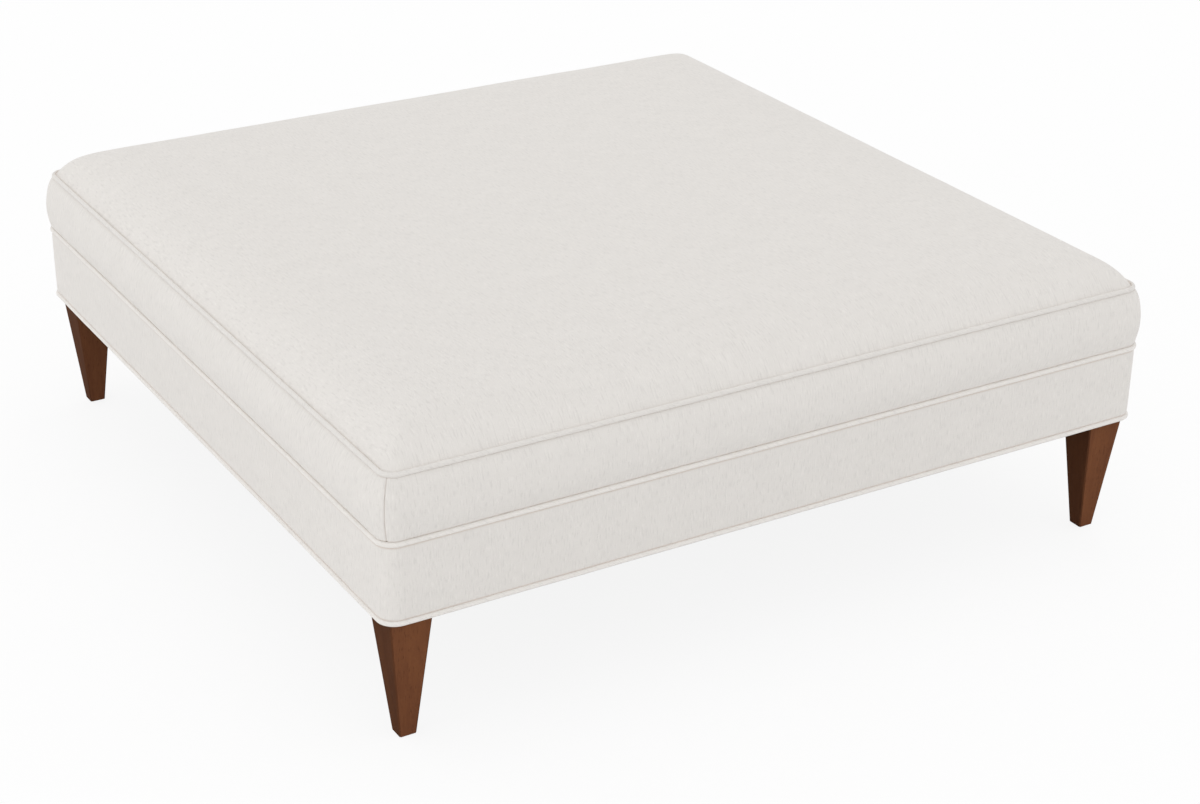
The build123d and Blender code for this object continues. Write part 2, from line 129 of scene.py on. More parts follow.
class OttomanSeat(bpy.types.PropertyGroup):
    """The seat's crown, its bowed side panels and the press of its filling"""

    crown_rise: FloatProperty(
        name="Crown rise", description="Height of the seat's middle over its rim",
        default=0.056, min=0, max=0.1, unit="LENGTH",
    )
    shoulder_share: FloatProperty(
        name="Shoulder share", description="Share of the crown that rises close to the edge",
        default=0.85, min=0, max=1,
    )
    shoulder_power: FloatProperty(
        name="Shoulder power", description="How close to the edge the shoulder turns",
        default=20, min=2, max=30,
    )
    mitre: FloatProperty(
        name="Mitre", description="How far the crown is rounded over where its sides meet",
        default=0.18, min=0.05, max=1,
    )
    boxing_bulge: FloatProperty(
        name="Boxing bulge", description="How far the side panels bow out",
        default=0.005, min=0, max=0.02, unit="LENGTH",
    )
    bulge_share: FloatProperty(
        name="Bulge height", description="Height of the bow's fullest line as a share of the panel",
        default=0.4, min=0.2, max=0.7,
    )
    foot_fullness: FloatProperty(
        name="Foot fullness", description="How squarely a side panel rises from the middle welt",
        default=1.5, min=1, max=3,
    )
    head_fullness: FloatProperty(
        name="Head fullness", description="How squarely a side panel rolls over to the top welt",
        default=1.8, min=1, max=3,
    )
    press_frames: IntProperty(
        name="Press frames", description="Frames over which the filling presses the cloth out",
        default=20, min=0, max=60,
    )
    press_reach: FloatProperty(
        name="Press reach", description="Furthest that the filling may move a point",
        default=0.0015, min=0, max=0.02, unit="LENGTH",
    )


class OttomanLegs(bpy.types.PropertyGroup):
    """The stain of the legs, and the painted shade on their faces that look along X"""

    stain_light: FloatVectorProperty(
        name="Light stain", description="Colour of the pale grain",
        default=(0.190, 0.073, 0.031), min=0, max=1, subtype="COLOR",
    )
    stain_dark: FloatVectorProperty(
        name="Dark stain", description="Colour of the dark grain",
        default=(0.130, 0.047, 0.022), min=0, max=1, subtype="COLOR",
    )
    # Painted shade: how much darker the faces of the legs that look along X are made
    x_face_shade: FloatProperty(
        name="Edge shade", description="How much darker the stain takes on the edge-grain faces",
        default=0.52, min=0, max=1,
    )


class OttomanStage(bpy.types.PropertyGroup):
    """The floor and the light"""

    floor_size: FloatProperty(
        name="Floor size", description="Side of the square floor",
        default=16, min=4, max=60, unit="LENGTH",
    )
    floor_colour: FloatVectorProperty(
        name="Floor colour", description="Colour of the pale floor",
        default=(0.93, 0.93, 0.93), min=0, max=1, subtype="COLOR",
    )
    sky_light: FloatProperty(
        name="Surround light", description="Strength of the light from all round",
        default=0.993, min=0, max=3,
    )
    key_power: FloatProperty(
        name="Key lamp", description="Power of the large soft lamp",
        default=59, min=0, max=1000, unit="POWER",
    )


# Materials

# At scale 1 the wave texture draws this many bands over a length of pi
BANDS_PER_PI = 10

# The scale that leaves coordinates in metres
PLAIN = (1.0, 1.0, 1.0)

# Where the colour mixing node has its two colours and its result
FIRST_COLOUR, SECOND_COLOUR, MIXED_COLOUR = 6, 7, 2


class Reading:
    """A node's output that arithmetic can be done on."""

    def __init__(self, wiring, socket):
        self.wiring = wiring
        self.socket = socket

    def _maths(self, operation, first, second):
        return self.wiring.add("ShaderNodeMath", {"operation": operation}, {0: first, 1: second})

    def __add__(self, other):
        return self._maths("ADD", self, other)

    def __radd__(self, other):
        return self._maths("ADD", other, self)

    def __sub__(self, other):
        return self._maths("SUBTRACT", self, other)

    def __rsub__(self, other):
        return self._maths("SUBTRACT", other, self)

    def __mul__(self, other):
        return self._maths("MULTIPLY", self, other)

    def __rmul__(self, other):
        return self._maths("MULTIPLY", other, self)


class Wiring:
    """A node tree under construction."""

    def __init__(self, tree):
        self.tree = tree

    def connect(self, socket, value):
        """Links a reading to a socket, or sets a plain value there."""
        if isinstance(value, Reading):
            self.tree.links.new(value.socket, socket)
        else:
            socket.default_value = value

    def add(self, kind, settings=None, inputs=None, output=0):
        """A node of a kind with its settings, then its inputs, and the reading of one output."""
        node = self.tree.nodes.new(kind)
        for key, value in (settings or {}).items():
            setattr(node, key, value)
        for key, value in (inputs or {}).items():
            self.connect(node.inputs[key], value)
        return Reading(self, node.outputs[output])

    def larger(self, first, second):
        """The larger of two readings."""
        return self.add("ShaderNodeMath", {"operation": "MAXIMUM"}, {0: first, 1: second})


class Finish(Wiring):
    """A node-based material under construction."""

    def __init__(self, name):
        self.material = bpy.data.materials.new(name)
        self.material.use_nodes = True
        super().__init__(self.material.node_tree)
        self.tree.nodes.clear()
        self.shader = self.tree.nodes.new("ShaderNodeBsdfPrincipled")
        self.output = self.tree.nodes.new("ShaderNodeOutputMaterial")
        self.tree.links.new(self.shader.outputs["BSDF"], self.output.inputs["Surface"])

    def surface(self, **values):
        """Fills the shader's sockets, with base_color standing for Base Color and so on."""
        for key, value in values.items():
            self.connect(self.shader.inputs[key.replace("_", " ").title().replace("Ior", "IOR")], value)

    def coordinates(self, scale, layer=None):
        """Object coordinates, or those of a cloth layer, scaled."""
        if layer:
            place = self.add("ShaderNodeUVMap", {"uv_map": layer})
        else:
            place = self.add("ShaderNodeTexCoord", output="Object")
        return self.add("ShaderNodeMapping", {"vector_type": "POINT"}, {"Vector": place, "Scale": scale})

    def speckle(self, place, scale=1.0, detail=2.0, rough=0.5, twist=0.0):
        """Noise with as many cells to the metre as its scale and that of its coordinates make."""
        return self.add(
            "ShaderNodeTexNoise", {"noise_dimensions": "3D"},
            {"Vector": place, "Scale": scale, "Detail": detail, "Roughness": rough, "Distortion": twist},
        )

    def bands(self, place, axis, pitch):
        """Soft bands across an axis, one to each pitch."""
        return self.add(
            "ShaderNodeTexWave", {"wave_type": "BANDS", "bands_direction": axis, "wave_profile": "SIN"},
            {"Vector": place, "Scale": math.pi / (BANDS_PER_PI * pitch)},
        )

    def between(self, reading, low, high):
        """A reading stretched so that low to high becomes 0 to 1."""
        return self.add(
            "ShaderNodeMapRange", {"clamp": True},
            {"Value": reading, "From Min": low, "From Max": high, "To Min": 0.0, "To Max": 1.0},
        )

    def blend(self, share, first, second):
        """A colour between two others, by a share of 0 to 1."""
        sides = {0: share, FIRST_COLOUR: self._colour(first), SECOND_COLOUR: self._colour(second)}
        settings = {"data_type": "RGBA", "blend_type": "MIX"}
        return self.add("ShaderNodeMix", settings, sides, output=MIXED_COLOUR)

    def _colour(self, value):
        return value if isinstance(value, Reading) else (*value[:3], 1.0)

    def relief(self, height, depth, strength):
        """A normal bumped by a reading, where 1 stands for the depth in metres."""
        return self.add("ShaderNodeBump", {}, {"Height": height, "Distance": depth, "Strength": strength})


def shade(colour, factor):
    """A colour made lighter or darker."""
    return tuple(min(1.0, part * factor) for part in colour)


def woven_cloth(name, highlight_lift=1.0):
    """Off-white plain weave with short slubs, darkened with painted shade where it turns into a seam."""
    # Cells to the metre of the slubs that run each way, and of the mottle
    upright_grain = (420.0, 75.0, 1.0)
    level_grain = (70.0, 460.0, 1.0)
    mottle_grain = 26.0
    # How strongly the level slubs count, how much slubs and gaps colour the cloth, and their shades
    level_share, thread_share = 0.6, 0.7
    dark_mottle, light_mottle, gap_shade, slub_shade = 0.985, 1.012, 0.9, 1.07
    cover = bpy.context.scene.ottoman_cover
    # A lift above 1 gives a lighter copy of the cloth, a painted highlight
    colour = shade(cover.cloth_colour, highlight_lift)

    cloth = Finish(name)
    plain = cloth.coordinates(PLAIN, layer="cloth")
    warp = cloth.bands(plain, "X", cover.thread)
    weft = cloth.bands(plain, "Y", cover.thread)
    crossing = cloth.larger(warp, weft)
    upright = cloth.speckle(cloth.coordinates(upright_grain, layer="cloth"), detail=1.5)
    level = cloth.speckle(cloth.coordinates(level_grain, layer="cloth"), detail=1.5)
    upright_slubs = cloth.between(upright, low=0.56, high=0.72)
    level_slubs = cloth.between(level, low=0.60, high=0.76)
    slubs = cloth.larger(upright_slubs, level_share * level_slubs)
    gaps = cloth.between(upright, low=0.44, high=0.30)
    mottle = cloth.between(cloth.speckle(plain, mottle_grain, detail=3.0), low=0.3, high=0.7)
    seam_distance = cloth.add("ShaderNodeAttribute", {"attribute_name": "seam_distance"}, output="Fac")
    # Painted shade: the cloth darkens towards the seams, standing in for the shadow in the creases beside
    # the cords
    painted_seam_shade = cloth.between(seam_distance, low=cover.seam_shade_reach, high=0.0)
    ground = cloth.blend(mottle, shade(colour, dark_mottle), shade(colour, light_mottle))
    ground = cloth.blend(thread_share * gaps, ground, shade(colour, gap_shade))
    ground = cloth.blend(thread_share * slubs, ground, shade(colour, slub_shade))
    cloth.surface(
        base_color=cloth.blend(painted_seam_shade * painted_seam_shade, ground, cover.seam_shade_colour),
        roughness=0.86 - 0.08 * slubs,
        normal=cloth.relief(0.5 * crossing + 0.9 * slubs - 0.5 * gaps, depth=0.00035, strength=0.75),
        sheen_weight=0.12, sheen_roughness=0.5, specular_ior_level=0.25,
    )
    return cloth.material


def stained_wood(name):
    """Satin walnut stain over straight grain that runs along the legs, with painted shade on the faces that
    look along X.
    """
    # Cells to the metre across and along the leg
    bend_scale = (9.0, 9.0, 2.0)
    grain_scale = (260.0, 260.0, 9.0)
    figure_scale = (46.0, 46.0, 5.0)
    pore_scale = (900.0, 900.0, 34.0)
    # How dark the painted shade on the faces that look along X goes, then the pores' colour and share
    x_face_darkness, pore_shade, pore_share = 0.12, 0.5, 0.5
    legs = bpy.context.scene.ottoman_legs

    wood = Finish(name)
    bend = wood.speckle(wood.coordinates(bend_scale))
    grain = wood.speckle(wood.coordinates(grain_scale), detail=4.0, rough=0.65, twist=0.25)
    figure = wood.speckle(wood.coordinates(figure_scale), detail=3.0, twist=0.8)
    pores = wood.between(wood.speckle(wood.coordinates(pore_scale), detail=1.0), low=0.62, high=0.72)
    share = wood.between(0.5 * figure + 0.35 * grain + 0.25 * bend, low=0.38, high=0.72)
    stain = wood.blend(share, legs.stain_dark, legs.stain_light)
    # Painted shade: the faces that look along X, either way, take a darker colour
    facing = wood.add("ShaderNodeSeparateXYZ", {}, {0: wood.add("ShaderNodeNewGeometry", output="Normal")})
    x_facing = wood.add("ShaderNodeMath", {"operation": "ABSOLUTE"}, {0: facing})
    x_face_shading = wood.between(x_facing, low=0.3, high=0.8)
    stain = wood.blend(legs.x_face_shade * x_face_shading, stain, shade(legs.stain_dark, x_face_darkness))
    wood.surface(
        base_color=wood.blend(pore_share * pores, stain, shade(legs.stain_dark, pore_shade)),
        roughness=0.5 + 0.12 * grain + 0.1 * pores,
        normal=wood.relief(grain - 0.8 * pores, depth=0.00012, strength=0.5),
        specular_ior_level=0.0, coat_roughness=0.3, coat_weight=0.07,
    )
    return wood.material


def plain_timber(name, pale, dark):
    """Planed hardwood of the hidden frame."""
    grain_scale = (7.0, 7.0, 120.0)
    figure_scale = (2.0, 2.0, 30.0)

    wood = Finish(name)
    grain = wood.speckle(wood.coordinates(grain_scale), detail=4.0, twist=0.4)
    figure = wood.speckle(wood.coordinates(figure_scale), twist=0.7)
    share = wood.between(0.5 * grain + 0.5 * figure, low=0.35, high=0.68)
    wood.surface(
        base_color=wood.blend(share, dark, pale), roughness=0.62 + 0.1 * grain,
        normal=wood.relief(grain, depth=0.0002, strength=0.5),
    )
    return wood.material


def coarse_weave(name, colour, pitch, depth):
    """Open plain weave, as of jute webbing, burlap and cambric."""
    fuzz_scale = 180.0
    gap_shade, thread_shade = 0.55, 1.15

    cloth = Finish(name)
    plain = cloth.coordinates(PLAIN)
    crossing = cloth.bands(plain, "X", pitch) * cloth.bands(plain, "Y", pitch)
    fuzz = cloth.speckle(plain, fuzz_scale, detail=3.0)
    share = cloth.between(0.7 * crossing + 0.5 * fuzz, low=0.1, high=0.8)
    cloth.surface(
        base_color=cloth.blend(share, shade(colour, gap_shade), shade(colour, thread_shade)),
        roughness=0.9, normal=cloth.relief(crossing, depth, strength=0.8), sheen_weight=0.1,
    )
    return cloth.material


def open_cell(name, colour, cell, depth):
    """Foam or loose fibre: a soft speckled surface."""
    cloud_scale = 12.0
    hollow_shade, crest_shade = 0.86, 1.04

    fill = Finish(name)
    plain = fill.coordinates(PLAIN)
    cells = fill.speckle(plain, 1.0 / cell, rough=0.7)
    clouds = fill.speckle(plain, cloud_scale)
    share = fill.between(0.6 * cells + 0.4 * clouds, low=0.35, high=0.65)
    fill.surface(
        base_color=fill.blend(share, shade(colour, hollow_shade), shade(colour, crest_shade)),
        roughness=0.95, normal=fill.relief(cells, depth, strength=0.7),
    )
    return fill.material


def plated_steel(name):
    """Zinc-plated fastenings with a faint spangle."""
    dull, bright = (0.50, 0.50, 0.51), (0.68, 0.68, 0.67)
    spangle_scale = 420.0

    steel = Finish(name)
    spangle = steel.speckle(steel.coordinates(PLAIN), spangle_scale)
    steel.surface(
        base_color=steel.blend(spangle, dull, bright), metallic=1.0, roughness=0.26 + 0.2 * spangle,
    )
    return steel.material


def moulded_nylon(name):
    """Black nylon of the glides, scuffed by the floor."""
    black, scuffed = (0.028, 0.027, 0.026), (0.09, 0.088, 0.085)
    scuff_scale, scuff_share = 500.0, 0.5

    nylon = Finish(name)
    marks = nylon.speckle(nylon.coordinates(PLAIN), scuff_scale, detail=3.0)
    scuffs = nylon.between(marks, low=0.5, high=0.75)
    nylon.surface(
        base_color=nylon.blend(scuff_share * scuffs, black, scuffed),
        roughness=0.42 + 0.25 * scuffs, normal=nylon.relief(scuffs, depth=0.00005, strength=0.5),
    )
    return nylon.material


def hidden_timber(name):
    return plain_timber(name, pale=(0.66, 0.48, 0.30), dark=(0.46, 0.30, 0.17))


FINISHES = {
    "cover_cloth": woven_cloth,
    # Painted highlight: a lighter copy of the cover cloth for the two lower cords
    "highlit_cord_cloth": lambda name: woven_cloth(name, bpy.context.scene.ottoman_cover.cord_highlight),
    "leg_wood": stained_wood,
    "frame_wood": hidden_timber,
    "webbing": lambda name: coarse_weave(name, colour=(0.40, 0.29, 0.17), pitch=0.0022, depth=0.0006),
    "burlap": lambda name: coarse_weave(name, colour=(0.46, 0.36, 0.23), pitch=0.0016, depth=0.0004),
    "dust_cover": lambda name: coarse_weave(name, colour=(0.035, 0.034, 0.033), pitch=0.0008, depth=0.0002),
    "tack_strip": lambda name: open_cell(name, colour=(0.50, 0.40, 0.28), cell=0.004, depth=0.0001),
    "foam": lambda name: open_cell(name, colour=(0.86, 0.80, 0.58), cell=0.0014, depth=0.0004),
    "batting": lambda name: open_cell(name, colour=(0.88, 0.88, 0.86), cell=0.006, depth=0.0010),
    "steel": plated_steel,
    "glide": moulded_nylon,
}


def finish_of(look):
    """The procedural finish of a look, made when it is first asked for."""
    name = f"{look}_finish"
    if name not in bpy.data.materials:
        FINISHES[look](name)
    return bpy.data.materials[name]


def dress(names, look):
    """Gives carried-over solids their finish."""
    for name in names:
        for holder in frame["nodes"][name].material_slots:
            holder.material = finish_of(look)


# Shapes

# Where the cloth's edges lie beside a cord's middle, as shares of the cord's radius
TOP_TUCK = 0.4
SIDE_TUCK = 0.3
EDGE_RISE = 0.5

# Gathers along the seams: waves per metre, and the broad ones' share of the fine ones' depth
FINE_GATHERS = 62.0
BROAD_GATHERS = 17.0
BROAD_SHARE = 0.8
BROAD_SEED = 9.0

# Waves of the filling under the cloth: waves per metre, and their heights
SLOW_WAVES = 7.0
SLOW_HEIGHT = 0.0006
QUICK_WAVES = 19.0
QUICK_HEIGHT = 0.0003
QUICK_SEED = 5.0

# Where each piece reads the noise, and how far apart the sides read it
SEEDS = {
    "top": 1.0, "top_rim": 3.0,
    "boxing": 7.0, "boxing_foot": 11.0, "boxing_head": 31.0, "boxing_end": 51.0,
    "band": 17.0, "band_foot": 71.0, "band_head": 81.0,
    "cord_wander": 70.0, "cord_drift": 90.0,
    "cambric": 5.0,
}
SIDE_SPACING = 3.0

# The rounding of a crossing is at most this many times the lower height
ROUNDING_LIMIT = 1.4

# Edges of grids that lie closer than this are joined
MERGE_DISTANCE = 0.00002

# Subdivision levels of the cover
SMOOTHING = 1

# How the cover behaves while its filling presses it out
PRESS_SETTINGS = {
    "quality": 5, "mass": 0.3, "tension_stiffness": 40, "compression_stiffness": 40, "shear_stiffness": 15,
    "bending_stiffness": 0.5, "use_pressure": True, "uniform_pressure_force": 4.0,
}


def side_point(side, along, offset, radius):
    """Point beside the body's outline and its outward direction, from the middle of a side."""
    straight = BODY_HALF - radius
    over = min(max(abs(along) - straight, 0.0), radius * math.pi / 2)
    angle = over / radius
    sign = 1.0 if along >= 0 else -1.0
    reach = radius + offset
    x = min(abs(along), straight) + reach * math.sin(angle)
    y = straight + reach * math.cos(angle)
    turn = Matrix.Rotation(side * math.pi / 2, 3, "Z")
    point = turn @ Vector((sign * x, -y, 0.0))
    outward = turn @ Vector((sign * math.sin(angle), -math.cos(angle), 0.0))
    return point, outward


def side_length(radius):
    """Length of a side along the body's outline, from the middle of one corner to the next."""
    return 2 * (BODY_HALF - radius) + radius * math.pi / 2


def welt_level(node):
    """Height of a welt's middle line."""
    low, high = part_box(node)
    return (low.z + high.z) / 2


def dip(distance, depth, width):
    """How far the cloth is drawn in at a distance from a seam."""
    return depth * math.exp(-distance / width)


def gather(run, distance, cover, seed):
    """Small gathers of the cloth along a seam, dying out with the distance from it."""
    fine = noise.noise(Vector((run * FINE_GATHERS, seed, 0.0)))
    broad = noise.noise(Vector((run * BROAD_GATHERS, seed + BROAD_SEED, 0.0)))
    return cover.pucker_depth * (fine + BROAD_SHARE * broad) * math.exp(-distance / cover.pucker_reach)


def unevenness(point, seed):
    """Slow waves of the filling under the cloth."""

    def wave(count, shift):
        return noise.noise(Vector((point[0] * count, point[1] * count, point[2] * count + seed + shift)))

    return SLOW_HEIGHT * wave(SLOW_WAVES, 0.0) + QUICK_HEIGHT * wave(QUICK_WAVES, QUICK_SEED)


def softer_of(first, second, blend):
    """The smaller of two heights, rounded over where they cross, and less so near nothing."""
    lower = min(first, second)
    blend = min(blend, ROUNDING_LIMIT * lower)
    if blend <= 0:
        return lower
    gap = max(0.0, blend - abs(first - second)) / blend
    return lower - gap * gap * blend / 4


def closer(share, strength):
    """Share from -1 to 1 with its steps closer together near the ends."""
    return (1 - strength) * share + strength * math.sin(share * math.pi / 2)


def bowed_line(foot, head, seat):
    """A side panel's section, full from its foot up and rolled over to its head, by a share of 0 to 1."""
    belly = foot[1] + seat.bulge_share * (head[1] - foot[1])

    def at(share):
        turn = math.cos(share * math.pi)
        (end_offset, end_level), power = foot, seat.foot_fullness
        if turn <= 0:
            (end_offset, end_level), power = head, seat.head_fullness
        reach = (1 - abs(turn) ** power) ** (1 / power)
        offset = end_offset + reach * (seat.boxing_bulge - end_offset)
        return offset, belly + abs(turn) * (end_level - belly)

    return at


def cloth_mesh(name, grids, look, merge=False):
    """An object of one or more grids of cloth, each (across, up, place).

    place(u, v) takes shares from -1 to 1 and gives the point, its place on the flat cloth and
    its distance from the nearest seam, in metres. The look is one of the finishes.
    """
    mesh = bpy.data.meshes.new(name)
    form = bmesh.new()
    flat = form.loops.layers.uv.new("cloth")
    seam = form.verts.layers.float.new("seam_distance")
    for across, up, place in grids:
        made = bmesh.ops.create_grid(form, x_segments=across, y_segments=up, size=1.0)["verts"]
        spots = {}
        for vertex in made:
            spots[vertex] = place(vertex.co.x, vertex.co.y)
        for face in {face for vertex in made for face in vertex.link_faces}:
            for loop in face.loops:
                loop[flat].uv = spots[loop.vert][1]
            face.smooth = True
        for vertex, (point, _, distance) in spots.items():
            vertex.co = point
            vertex[seam] = distance
    if merge:
        bmesh.ops.remove_doubles(form, verts=form.verts, dist=MERGE_DISTANCE)
    form.to_mesh(mesh)
    form.free()
    piece = bpy.data.objects.new(name, mesh)
    bpy.context.scene.collection.objects.link(piece)
    mesh.materials.append(finish_of(look))
    return piece


def press_out(piece, frames, reach):
    """Cloth simulation: the filling presses the cover out between its seams, by the reach at most."""
    if not frames:
        return
    scene = bpy.context.scene
    group = piece.vertex_groups.new(name="held")
    group.add(edge_vertices(piece), 1.0, "REPLACE")
    press = piece.modifiers.new("press", "CLOTH")
    press.settings.vertex_group_mass = "held"
    for key, value in PRESS_SETTINGS.items():
        setattr(press.settings, key, value)
    press.settings.effector_weights.gravity = 0.0
    press.point_cache.frame_start = 1
    press.point_cache.frame_end = frames
    for step in range(1, frames + 1):
        scene.frame_set(step)
    pressed = piece.evaluated_get(bpy.context.evaluated_depsgraph_get())
    places = [vertex.co.copy() for vertex in pressed.data.vertices]
    piece.modifiers.remove(press)
    piece.vertex_groups.remove(group)
    scene.frame_set(1)
    for vertex, place in zip(piece.data.vertices, places):
        move = place - vertex.co
        if move.length > reach:
            move *= reach / move.length
        vertex.co += move


def edge_vertices(piece):
    """Indices of the vertices on a mesh's open edges."""
    counts = {}
    for face in piece.data.polygons:
        for key in face.edge_keys:
            counts[key] = counts.get(key, 0) + 1
    return sorted({index for key, count in counts.items() if count == 1 for index in key})


def thicken(piece, thickness, side):
    """Gives cloth its thickness, to one side of its face."""
    solid = piece.modifiers.new("thickness", "SOLIDIFY")
    solid.thickness = thickness
    solid.offset = side


def finish_cloth(piece, thickness):
    """Smooths a cover piece, gives it its thickness and fixes it to the body."""
    smooth = piece.modifiers.new("smooth", "SUBSURF")
    smooth.levels = SMOOTHING
    smooth.render_levels = SMOOTHING
    thicken(piece, thickness, side=-1.0)
    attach(piece, "root")


# Operators


class SeatTop(bpy.types.Operator):
    """Make the crowned top panel of the seat"""

    bl_idname = "ottoman.seat_top"
    bl_label = "Seat Top"

    def execute(self, context):
        # The grid's steps, and how much closer together they stand near the seam
        steps, crowding = 110, 0.8
        # Share of the panel, in from its edge, over which its corners are turned round
        corner_reach = 0.1
        # The dip into the seam, and how far outside the edge its painted seam shade is counted from
        seam_depth, seam_width, seam_clear = 0.0012, 0.0014, 0.0011
        # Metres of seam to a radian round the panel, and how far in the filling's waves are full
        seam_per_radian, calm_reach = 0.8, 0.05
        cover, seat = context.scene.ottoman_cover, context.scene.ottoman_seat
        round_half = BODY_HALF - cover.top_welt_inset - cover.welt_stand - TOP_TUCK * cover.welt_radius
        corner = cover.top_corner_radius + round_half - BODY_HALF
        rim = welt_level("welt_top") + EDGE_RISE * cover.welt_radius

        def rise(share):
            steep = seat.shoulder_share * abs(share) ** seat.shoulder_power
            return 1 - steep - (1 - seat.shoulder_share) * share * share

        def place(u, v):
            u, v = closer(u, crowding), closer(v, crowding)
            x, y = u * round_half, v * round_half
            share = max(abs(u), abs(v))
            inner = round_half - corner
            if share > 0:
                over_x, over_y = abs(x / share) - inner, abs(y / share) - inner
                if over_x > 0 and over_y > 0:
                    into_corner = max(0.0, (share - (1 - corner_reach)) / corner_reach)
                    pull = (1 - corner / math.hypot(over_x, over_y)) * into_corner ** 2
                    x -= math.copysign(over_x, x) * pull
                    y -= math.copysign(over_y, y) * pull
            distance = (1 - share) * round_half
            run = math.atan2(v, u) * seam_per_radian
            z = rim + seat.crown_rise * softer_of(rise(u), rise(v), seat.mitre)
            z -= dip(distance, seam_depth, seam_width)
            waves = unevenness((x, y, 0.0), SEEDS["top"]) * min(1.0, distance / calm_reach)
            z += gather(run, distance, cover, SEEDS["top_rim"]) + waves
            return (x, y, z), (x, y), distance + seam_clear

        piece = cloth_mesh("seat_top", [(steps, steps, place)], "cover_cloth")
        press_out(piece, seat.press_frames, seat.press_reach)
        finish_cloth(piece, cover.cloth)
        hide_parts("top_panel", "batting_top")
        return {"FINISHED"}


class Boxing(bpy.types.Operator):
    """Make the four bowed side panels of the seat, drawn in at the corner seams"""

    bl_idname = "ottoman.boxing"
    bl_label = "Boxing"

    def execute(self, context):
        steps_along, steps_up, crowding = 170, 20, 0.8
        # Where the seam's painted shade is counted from: in shares of the cord's radius, and outside the
        # ends
        foot_shade_share, head_shade_share, end_clear = 0.55, 0.5, 0.0009
        # The dips at the corner seam's stitches, in the hollow beside them, and along the foot
        stitch_depth, stitch_width = 0.0013, 0.0010
        hollow_depth, hollow_width = 0.0010, 0.012
        foot_depth, foot_width = 0.0005, 0.0014
        # How far from the seams the gathers and the filling's waves are full
        fade_reach, calm_reach = 0.012, 0.03
        # The corner seam's gathers against the others, in depth and in closeness
        end_share, end_stretch = 0.7, 1.7
        # How far the filling may press a side panel out, against the top
        press_share = 0.6
        cover, seat = context.scene.ottoman_cover, context.scene.ottoman_seat
        radius = cover.welt_radius
        foot = (-SIDE_TUCK * radius - cover.welt_stand, welt_level("welt_middle") + EDGE_RISE * radius)
        head_offset = -cover.top_welt_inset - SIDE_TUCK * radius - cover.welt_stand
        head = (head_offset, welt_level("welt_top") - EDGE_RISE * radius)
        half_run = side_length(cover.corner_radius) / 2
        profile = bowed_line(foot, head, seat)

        for number, side in enumerate(SIDES):

            def place(u, v, number=number):
                along = closer(u, crowding) * half_run
                offset, level = profile((v + 1) / 2)
                end = half_run - abs(along)
                lower = math.hypot(offset - foot[0], level - foot[1]) - foot_shade_share * radius
                upper = math.hypot(offset - head[0], level - head[1]) - head_shade_share * radius
                offset -= dip(end, stitch_depth, stitch_width) + dip(end, hollow_depth, hollow_width)
                offset -= dip(max(0.0, lower), foot_depth, foot_width)
                fade = min(1.0, end / fade_reach)
                offset += fade * gather(along, abs(lower), cover, SEEDS["boxing_foot"] + number)
                offset += fade * gather(along, abs(upper), cover, SEEDS["boxing_head"] + number)
                offset += end_share * gather(level * end_stretch, end, cover, SEEDS["boxing_end"])
                calm = max(0.0, min(1.0, lower / calm_reach, upper / calm_reach, end / calm_reach))
                offset += unevenness((along, number * SIDE_SPACING, level), SEEDS["boxing"]) * calm
                point, _ = side_point(number, along, offset, cover.corner_radius)
                point.z = level
                return point, (along, level), min(lower, upper, end + end_clear)

            grid = (steps_along, steps_up, place)
            piece = cloth_mesh(f"boxing_panel_{side}", [grid], "cover_cloth")
            press_out(piece, seat.press_frames, seat.press_reach * press_share)
            finish_cloth(piece, cover.cloth)
            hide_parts(f"boxing_{side}")
        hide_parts("batting_border")
        return {"FINISHED"}


